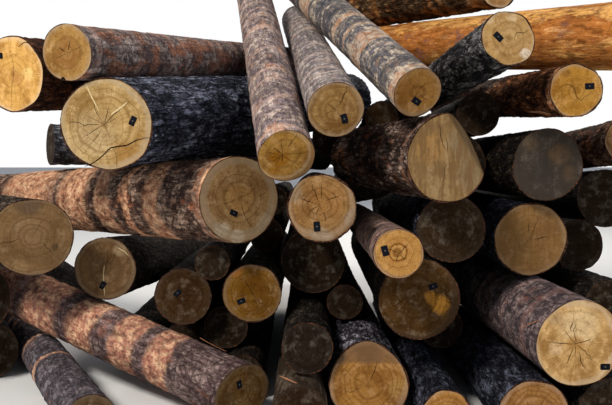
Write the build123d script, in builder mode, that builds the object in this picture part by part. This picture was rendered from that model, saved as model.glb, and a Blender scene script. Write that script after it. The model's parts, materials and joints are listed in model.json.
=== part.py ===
"""A loose stack of sawlogs as it lies beside a forest road, every log a piece of its own.

The logs are listed in the order in which they were laid. Each one is dropped where the list says and
comes to rest on the ground and on the logs already there, so a changed diameter or length moves
everything that lies on it. Lengths are in millimetres and angles in degrees.
"""
from build123d import *
import math
import os
from dataclasses import dataclass

import numpy as np

LOG_LENGTH = 3000.0
CLEARANCE = 0.3
TAG_WIDTH = 50.0
TAG_HEIGHT = 32.0
TAG_THICKNESS = 1.5
TAG_CORNER = 4.0
TAG_GAP = 0.1

# How finely a log is followed while it finds its rest
COARSE_STEP = 60.0
TRIAL_STEP = 100.0
FINE_STEP = 12.5
RIM_POINTS = 120
NESTLE_TRIALS = 9
NESTLE_ROUNDS = 2
END_SLACK = 5.0


@dataclass
class Facet:
    """A second, slanting cut that takes a corner off a near end, as felling from two sides leaves it.

    turn and lean are its slants and depth is how far behind the near end's centre it crosses the axis.
    """
    turn: float
    lean: float
    depth: float


@dataclass
class Log:
    """A log: where its near end is put down, which way it points and how thick it is at both ends.

    x and y place the centre of the near end, heading turns the log clockwise from straight back.
    turn and lean say how far the near end is sawn askew, sideways and backwards. nestle is how far
    to either side the log may roll into a dip between its neighbours.
    """
    name: str
    x: float
    y: float
    heading: float
    front: float
    back: float
    length: float = LOG_LENGTH
    turn: float = 0.0
    lean: float = 0.0
    facet: Facet = None
    nestle: float = 0.0
    z: float = 0.0
    pitch: float = 0.0

    def radius(self, along):
        return (self.front + (self.back - self.front) * along / self.length) / 2

    def reach(self):
        """How far the near end's saw cut runs past the log's measured length."""
        return self.front / 2 * math.tan(math.radians(max(abs(self.turn), abs(self.lean))))

    def heavy_point(self):
        """Distance of the centre of gravity from the near end."""
        return self.length * (0.5 + (self.back - self.front) / (self.back + self.front) / 6)

    def axes(self, pitch):
        """Unit vectors along the log, across it to the right and up out of it."""
        p = math.radians(pitch)
        h = math.radians(self.heading)
        ahead = np.array([math.sin(h), math.cos(h), 0.0])
        side = np.array([math.cos(h), -math.sin(h), 0.0])
        along = ahead * math.cos(p) + np.array([0.0, 0.0, math.sin(p)])
        up = -ahead * math.sin(p) + np.array([0.0, 0.0, math.cos(p)])
        return along, side, up

    def beads(self, step):
        """The log as a row of touching balls and the rims of its ends: along, across, up, radius."""
        slope = (self.back - self.front) / 2 / self.length
        stations = np.linspace(0, self.length, int(self.length / step) + 1)
        radius = self.radius(stations)
        flat = 0 * stations
        rows = [np.stack([stations + radius * slope, flat, flat, radius * math.hypot(1, slope)], axis=1)]
        angles = np.linspace(0, 2 * math.pi, RIM_POINTS, endpoint=False)
        for end in (0.0, self.length):
            across = self.radius(end) * np.cos(angles)
            up = self.radius(end) * np.sin(angles)
            along = np.full(RIM_POINTS, end)
            if end == 0.0:
                along = along - across * math.tan(math.radians(self.turn))
                along = along - up * math.tan(math.radians(self.lean))
            rows.append(np.stack([along, across, up, 0 * along], axis=1))
        return np.concatenate(rows)


@dataclass
class Tag:
    """A tag nailed to a log's near end, placed by its distance across and up from the centre."""
    log: str
    across: float
    up: float
    tilt: float = 0.0


LOGS = [
    # On the ground, left to right, and the hidden ones behind and beside them
    Log("ground_left", -1090, -50, -28, 300, 270),
    Log("ground_peeled", -34, 50, 0, 310, 280),
    Log("ground_stepped", 345, 290, -1, 465, 400, facet=Facet(0, -45, -120)),
    Log("ground_small", 728, 60, 0, 288, 260),
    Log("ground_grey", 1150, -50, -1, 375, 340),
    Log("inner_ground_right", 1562, 0, 0, 370, 350),
    Log("inner_ground_far_right", 1960, 250, 0, 380, 350),
    Log("inner_ground_middle", -390, 720, 0, 290, 270),
    Log("inner_ground_back", -780, 1100, 0, 400, 360),
    Log("inner_ground_back_left", -1170, 1400, 0, 360, 340),
    Log("outer_ground_left", -2091, 1130, -28, 380, 360, length=2600),
    Log("outer_ground_far_left", -2530, 930, -28, 380, 360, length=2600),
    Log("outer_crossing_left", -2060, 880, -50, 475, 465, length=1010),
    # Second layer
    Log("crossing_lower", -351, 300, -55, 362, 370, turn=16),
    Log("shaded_small", 0, 220, 0, 296, 280, nestle=30),
    Log("inner_low_middle", -500, 900, 0, 290, 270, nestle=20),
    Log("second_row_left", -747, 750, 0, 364, 340),
    Log("cracked_ochre", -316, 600, 0, 362, 330),
    Log("streaked_left", -1265, 930, 3, 410, 380),
    Log("inner_low_right", 870, 950, 0, 300, 300, nestle=20),
    Log("sunlit_corner", 620, 300, 0, 460, 420),
    Log("lower_right", 1370, -50, -3, 460, 450),
    # Third layer
    Log("inner_mid_far_right", 1764, 500, 0, 390, 370),
    Log("inner_mid_small", 275, 900, 0, 240, 240, nestle=30),
    Log("small_yellow", 440, -200, 0, 256, 240),
    Log("inner_mid_middle", 30, 900, 0, 420, 400, nestle=20),
    Log("inner_mid_left", -560, 620, 0, 225, 215, nestle=20),
    Log("inner_gap_low", -250, 1150, 0, 240, 230, nestle=20),
    Log("blue_sapwood", 80, -50, 0, 360, 330),
    Log("inner_gap_left", -225, 1250, 0, 220, 210),
    Log("ochre_right", 1294, 550, 0, 440, 420),
    Log("dim_right", 1694, 900, 0, 334, 310),
    Log("inner_right_edge", 1900, 1000, 0, 380, 360),
    Log("inner_far_left", -2290, 1560, 0, 220, 210, length=2600),
    Log("weathered_left", -1575, 550, -50, 470, 440, length=2300, turn=20),
    Log("crossing_upper", -372, 450, -50, 510, 400, turn=14),
    # Fourth layer
    Log("inner_upper_middle", 800, 350, 0, 390, 380),
    Log("crooked_bolt", 720, 50, -18, 480, 400, length=1250, facet=Facet(-49, -38, -172)),
    Log("black_face", 1350, 450, 0, 430, 410),
    Log("inner_upper_right", 935, 950, 0, 390, 390, nestle=30),
    Log("inner_top_right", 1074, 950, 0, 288, 280),
    Log("inner_gap_middle", 440, 1550, 0, 430, 410, nestle=20, length=2600),
    Log("gap_small", 520, 1400, 0, 256, 240, length=2600),
    Log("inner_gap_upper", 180, 1400, 0, 290, 280, length=850),
    Log("right_edge", 1905, 700, 0, 300, 280),
    # Top of the pile
    Log("knot_ring", 1392, 150, -3, 300, 280),
    Log("lobed_top", 998, 0, -6, 302, 290),
    Log("ridged_back", -1750, 1400, 60, 300, 280, length=2200),
    Log("bark_seam", -1035, 150, 28, 500, 460),
    Log("inner_top_left", -1190, 850, 30, 350, 215, length=2100),
    Log("bright_edge", -1550, 250, 26, 420, 380),
    Log("notched_top", -1220, 120, 25, 302, 270),
    Log("debarked_top", 1900, 150, -36, 400, 320, length=2500),
    Log("crown_back", 1200, 1000, -30, 370, 340, length=1700),
    Log("star_cracks", -98, 0, -8, 305, 284, length=2850),
    Log("wrinkled_bark", 148, 0, -4.5, 296, 284),
    Log("leaning_right", 550, -20, -15, 268, 298),
]

TAGS = [
    Tag("bright_edge", -81, 100),
    Tag("bark_seam", 140, 12, tilt=20),
    Tag("wrinkled_bark", 45, -45),
    Tag("leaning_right", 3, -47),
    Tag("lobed_top", -50, 8, tilt=45),
    Tag("knot_ring", 72, 22),
    Tag("crossing_upper", -40, -74, tilt=-8),
    Tag("blue_sapwood", -26, -90, tilt=90),
    Tag("small_yellow", -63, 13),
    Tag("sunlit_corner", 73, 73, tilt=12),
    Tag("streaked_left", -14, -106),
    Tag("second_row_left", -33, 21, tilt=5),
    Tag("cracked_ochre", -64, -46),
    Tag("crossing_lower", -27, 57, tilt=80),
    Tag("lower_right", 136, -120),
]


class Laid:
    """A log that already lies in the pile, as balls at their places."""

    def __init__(self, log):
        self.log = log
        self.along, side, up = log.axes(log.pitch)
        beads = log.beads(FINE_STEP)
        start = np.array([log.x, log.y, log.z])
        self.stations = beads[:, 0]
        self.radii = beads[:, 3]
        self.centres = start + beads[:, :1] * self.along + beads[:, 1:2] * side + beads[:, 2:3] * up


def least_heights(log, pitch, beads, pile):
    """How high the near end's centre must be for each ball of the log to clear the ground and the pile."""
    along, side, up = log.axes(pitch)
    offsets = beads[:, :1] * along + beads[:, 1:2] * side + beads[:, 2:3] * up
    centres = np.array([log.x, log.y, 0.0]) + offsets
    radii = beads[:, 3]
    heights = radii - centres[:, 2]
    for other in pile:
        margin = other.radii.max() + radii.max()
        low = other.centres[:, :2].min(axis=0) - margin
        high = other.centres[:, :2].max(axis=0) + margin
        near = np.nonzero(np.all((centres[:, :2] > low) & (centres[:, :2] < high), axis=1))[0]
        apart = centres[near, None, :2] - other.centres[None, :, :2]
        touching = radii[near, None] + other.radii[None, :] + CLEARANCE
        rise_squared = touching ** 2 - (apart ** 2).sum(axis=2)
        solid = (radii[near, None] > 0) | (other.radii[None, :] > 0)
        i, j = np.nonzero((rise_squared > 0) & solid)
        rise = np.sqrt(rise_squared[i, j])
        between = np.concatenate([apart[i, j], rise[:, None]], axis=1)
        mine = near[i]
        share = 1 / (radii[mine] + other.radii[j])
        on_other = other.stations[j] + between @ other.along * other.radii[j] * share
        on_mine = beads[mine, 0] - between @ along * radii[mine] * share
        real = (on_other > -other.log.reach() - END_SLACK) & (on_other < other.log.length + END_SLACK)
        real &= (on_mine > -log.reach() - END_SLACK) & (on_mine < log.length + END_SLACK)
        needed = other.centres[j, 2] + rise - centres[mine, 2]
        np.maximum.at(heights, mine[real], needed[real])
    return heights


def resting_slope(along, heights, heavy_point):
    """The slope of a straight edge laid on the given heights that balances at its heavy point."""
    hull = []
    for point in sorted(zip(along, heights)):
        if hull and point[0] - hull[-1][0] < 1e-6:
            if point[1] <= hull[-1][1]:
                continue
            hull.pop()
        while len(hull) > 1:
            (x1, h1), (x2, h2) = hull[-2:]
            if (h2 - h1) * (point[0] - x1) > (point[1] - h1) * (x2 - x1):
                break
            hull.pop()
        hull.append(point)
    for (x1, h1), (x2, h2) in zip(hull, hull[1:]):
        if x1 <= heavy_point <= x2:
            return (h2 - h1) / (x2 - x1)
    raise ValueError("the log is shorter than the distance to its heavy point")


def settle(log, pile, steps=(COARSE_STEP, COARSE_STEP, COARSE_STEP, FINE_STEP, FINE_STEP)):
    """Lower the log until it rests on the pile, on both sides of its centre of gravity."""
    log.pitch = 0.0
    for step in steps:
        beads = log.beads(step)
        rise = beads[:, 0] * math.sin(math.radians(log.pitch))
        axis_heights = least_heights(log, log.pitch, beads, pile) + rise
        slope = resting_slope(beads[:, 0], axis_heights, log.heavy_point())
        log.pitch = math.degrees(math.asin(max(-0.9, min(0.9, slope))))
    log.z = float(least_heights(log, log.pitch, beads, pile).max())


def nestle(log, pile):
    """Let the log roll sideways, within its allowance, to where its middle lies lowest."""
    reach = log.nestle
    for _ in range(NESTLE_ROUNDS):
        places = []
        middle = log.x
        for shift in np.linspace(-reach, reach, NESTLE_TRIALS):
            log.x = middle + float(shift)
            settle(log, pile, (TRIAL_STEP, TRIAL_STEP))
            places.append((log.z + log.length / 2 * math.sin(math.radians(log.pitch)), log.x))
        log.x = min(places)[1]
        reach = 2 * reach / (NESTLE_TRIALS - 1)


def lay_pile(logs):
    """Lay the logs one after another."""
    pile = []
    for log in logs:
        if log.nestle:
            nestle(log, pile)
        settle(log, pile)
        pile.append(Laid(log))


def cut_plane(log, cut, ahead=0.0, depth=0.0):
    """The plane of a cut at the near end, facing out of the log, its X to the right and its Y up."""
    along, side, up = log.axes(log.pitch)
    start = np.array([log.x, log.y, log.z]) + along * depth
    inward = along + side * math.tan(math.radians(cut.turn)) + up * math.tan(math.radians(cut.lean))
    inward = inward / np.linalg.norm(inward)
    to_right = side - inward * (side @ inward)
    return Plane(origin=tuple(start - inward * ahead), x_dir=tuple(to_right), z_dir=tuple(-inward))


def log_solid(log):
    """A tapering round log with its far end sawn square and its near end as its turn and lean say."""
    along, side, up = log.axes(log.pitch)
    start = (log.x, log.y, log.z)
    extra = 1.5 * log.reach()
    with BuildPart() as trunk:
        with BuildSketch(Plane(origin=start, x_dir=tuple(along), z_dir=tuple(side))):
            with BuildLine():
                Polyline(
                    (-extra, 0),
                    (log.length, 0),
                    (log.length, log.radius(log.length)),
                    (-extra, log.radius(-extra)),
                    close=True,
                )
            make_face()
        revolve(axis=Axis(start, tuple(along)))
        if extra:
            split(bisect_by=cut_plane(log, log), keep=Keep.BOTTOM)
        if log.facet:
            split(bisect_by=cut_plane(log, log.facet, depth=log.facet.depth), keep=Keep.BOTTOM)
    trunk.part.label = log.name
    return trunk.part


def tag_solids(tags, logs):
    """The tags, flat on the log ends."""
    by_name = {log.name: log for log in logs}
    with BuildPart() as end_tags:
        for tag in tags:
            log = by_name[tag.log]
            face = cut_plane(log, log, ahead=TAG_GAP)
            with BuildSketch(face):
                with Locations((tag.across, tag.up)):
                    RectangleRounded(TAG_WIDTH, TAG_HEIGHT, TAG_CORNER, rotation=tag.tilt)
            extrude(amount=TAG_THICKNESS)
    end_tags.part.label = "end_tags"
    return end_tags.part


lay_pile(LOGS)
pieces = [log_solid(log) for log in LOGS]
pieces.append(tag_solids(TAGS, LOGS))

# The stack is stored with its origin under the middle of its bounding box
boxes = [piece.bounding_box() for piece in pieces]
middle_x = (min(box.min.X for box in boxes) + max(box.max.X for box in boxes)) / 2
middle_y = (min(box.min.Y for box in boxes) + max(box.max.Y for box in boxes)) / 2
lowest = min(box.min.Z for box in boxes)

os.makedirs("parts", exist_ok=True)
for piece in pieces:
    piece.locate(Location((-middle_x, -middle_y, -lowest)) * piece.location)
    export_step(piece, f"parts/{piece.label}.step")
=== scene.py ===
"""The look of the stack of logs: bark, sawn ends, tags, light and camera. Lengths are in metres.

Every log is rebuilt on its CAD node: a fine skin inside the node's surface that carries bark relief,
a rim of cut bark and a sawn end. Each new log has its own axes, X along the log from its near end,
Y across to the right and Z up. Its materials read them from the point attribute "place".
"""

import json
import math
from dataclasses import dataclass

import bpy
import numpy as np
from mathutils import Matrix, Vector


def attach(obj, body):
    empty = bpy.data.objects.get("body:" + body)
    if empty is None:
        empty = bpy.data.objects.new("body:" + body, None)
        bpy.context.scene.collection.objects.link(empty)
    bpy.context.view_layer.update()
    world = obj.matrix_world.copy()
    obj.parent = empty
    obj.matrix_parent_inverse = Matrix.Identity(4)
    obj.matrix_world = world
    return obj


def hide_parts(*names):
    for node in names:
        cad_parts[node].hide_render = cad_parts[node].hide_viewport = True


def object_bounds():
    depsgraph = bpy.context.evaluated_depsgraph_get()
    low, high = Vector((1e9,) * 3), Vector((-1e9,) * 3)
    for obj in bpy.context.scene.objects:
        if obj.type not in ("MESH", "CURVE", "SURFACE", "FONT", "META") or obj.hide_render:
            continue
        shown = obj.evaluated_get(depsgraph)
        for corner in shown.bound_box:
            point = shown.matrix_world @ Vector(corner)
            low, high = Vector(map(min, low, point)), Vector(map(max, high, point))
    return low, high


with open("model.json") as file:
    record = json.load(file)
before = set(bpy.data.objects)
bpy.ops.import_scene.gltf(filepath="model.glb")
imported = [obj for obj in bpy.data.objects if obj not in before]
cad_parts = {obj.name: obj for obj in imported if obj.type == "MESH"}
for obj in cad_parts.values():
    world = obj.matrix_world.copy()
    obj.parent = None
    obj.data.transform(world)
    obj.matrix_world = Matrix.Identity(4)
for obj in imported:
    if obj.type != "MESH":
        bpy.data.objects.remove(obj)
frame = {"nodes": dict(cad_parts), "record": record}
cad_low, cad_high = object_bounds()

# Steps of a skin's grid: in front, at the back, and on logs that don't show
FINE = 0.013
COARSE = 0.06
HIDDEN_STEP = 0.05
# How far the cut's slant and the calmer bark behind it reach along a log
CUT_BLEND = 0.6
CALM_END = 0.07
# How far wood lies behind the saw cut, and drawn strips before it
FACE_RECESS = 0.0006
STRIP_LIFT = 0.0005
# Least distances from the sides of the CAD model's box
BOX_MARGIN = 0.0005
TAG_MARGIN = 0.0003
# Width, height, corner radius and thickness
TAG_SIZE = (0.05, 0.032, 0.004, 0.0018)
NAIL_SIZE = (0.008, 0.008, 0.004, 0.0032)
TAG_LIFT = 0.001
# Radii of the rings of a sawn end, as shares of the whole
CAP_RINGS = (
    1.0, 0.98, 0.955, 0.92, 0.88, 0.83, 0.78, 0.72, 0.66, 0.59, 0.52, 0.45, 0.38, 0.31, 0.24, 0.17, 0.1,
    0.04,
)


def colour(red, green, blue):
    """A colour written as it looks on screen, from 0 to 255, as the values that a shader takes."""
    values = [min(1.0, v / 255) for v in (red, green, blue)]
    return tuple(v / 12.92 if v < 0.04045 else ((v + 0.055) / 1.055) ** 2.4 for v in values) + (1.0,)


def shade(tone, share):
    """A shader colour made lighter or darker."""
    return tuple(v * share for v in tone[:3]) + (1.0,)


def blend(one, other, share):
    """A colour between two others."""
    return tuple(a + (b - a) * share for a, b in zip(one, other))


@dataclass
class Bark:
    """The relief of a kind of bark.

    plate is the size of its plates along and across the log, depth how deep the fissures between them
    are and fissure how wide. wrinkle is the height of folds that run round the log, bare the share of
    flaked spots, thickness the bark's thickness at the saw cut, flakes the number of small scales to
    a metre, stretch how much longer the scales are along the log than across, and net the strength of
    the dark lines between them.
    """
    plate: tuple
    depth: float
    fissure: float
    wrinkle: float = 0.0
    bare: float = 0.0
    thickness: float = 0.006
    flakes: float = 26.0
    stretch: float = 2.2
    net: float = 0.85


BARKS = dict(
    fissured=Bark((0.075, 0.03), 0.0075, 0.34, thickness=0.009, flakes=30.0, stretch=2.6),
    plated=Bark(
        (0.11, 0.045), 0.0085, 0.3, wrinkle=0.002, bare=0.35, thickness=0.009, flakes=24.0, net=0.8,
    ),
    ringed=Bark(
        (0.08, 0.05), 0.0045, 0.22, wrinkle=0.0065, bare=0.25, flakes=22.0, stretch=1.1,
        net=0.6,
    ),
    flaky=Bark(
        (0.055, 0.06), 0.002, 0.18, wrinkle=0.0032, bare=0.22, thickness=0.004, flakes=24.0, stretch=0.8,
        net=0.5,
    ),
    weathered=Bark((0.08, 0.04), 0.007, 0.3, thickness=0.007, flakes=26.0),
    peeled=Bark((0.3, 0.1), 0.0012, 0.12, thickness=0.002, flakes=7.0, stretch=3.5, net=0.3),
)

# Bark colours with light painted in: painted shade, deeper painted shade, and painted blue sky light
SHADED = ((14, 12, 11), (56, 47, 40), (92, 80, 70), (78, 54, 40))
DEEPER_SHADE = ((18, 14, 12), (58, 47, 39), (88, 75, 63), (84, 56, 40))
SKYLIT = ((13, 13, 18), (66, 68, 82), (118, 122, 142), (84, 72, 68))


@dataclass
class Look:
    """What is special about one log.

    colours are the bark's fissures, body, pale scales and warm inner bark; the fissure colour is partly
    painted shade. face is the colour of the sawn wood, darkened as painted shade on logs set back in
    the pile. seen is how far back the skin is finely made. warmth is the share of inner bark that
    shows, bands the strength of pale and dark rings across the bark, partly the bark's own rings and
    partly painted sunlight and shade, and sunny lists painted bands of sunlight as (distance from the
    near end, width). sap is the width of the outer wood as a share of the radius, rings the contrast
    of growth rings, and lobes the unevenness of the outline. pith is the middle of the rings. spots
    are round patches on the sawn end, mostly stains, and on sunlit_corner a painted patch of sunlight:
    across, up, radius, colour, strength. cracks are drying cracks from the pith: angle in degrees,
    from and to as shares of the radius. marks are drawn lines on the sawn end: kind, width and points.
    skew turns the sawn end: its right side goes back by that share of its distance from the middle.
    streaks is the strength of upright split grain, and facet is a second cut: turn and lean in
    degrees, and where it crosses the log's axis.
    """
    bark: str = "weathered"
    # The default dark bark colours and sawn face are painted shade, for logs that lie deep in the pile
    colours: tuple = SHADED
    face: tuple = (40, 29, 19)
    seen: float = 0.3
    warmth: float = 0.2
    bands: float = 0.0
    sunny: tuple = ()
    sap: float = 0.14
    rings: float = 1.0
    lobes: float = 0.004
    pith: tuple = (0.0, 0.0)
    spots: tuple = ()
    cracks: tuple = ()
    marks: tuple = ()
    skew: float = 0.0
    streaks: float = 0.0
    facet: tuple = ()


# Cracks that spread from the pith like a star
STAR = (
    (92, 0.0, 0.55), (134, 0.0, 0.38), (181, 0.05, 0.6), (222, 0.0, 0.42), (266, 0.0, 0.3),
    (322, 0.05, 0.55), (17, 0.0, 0.36),
)

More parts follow.
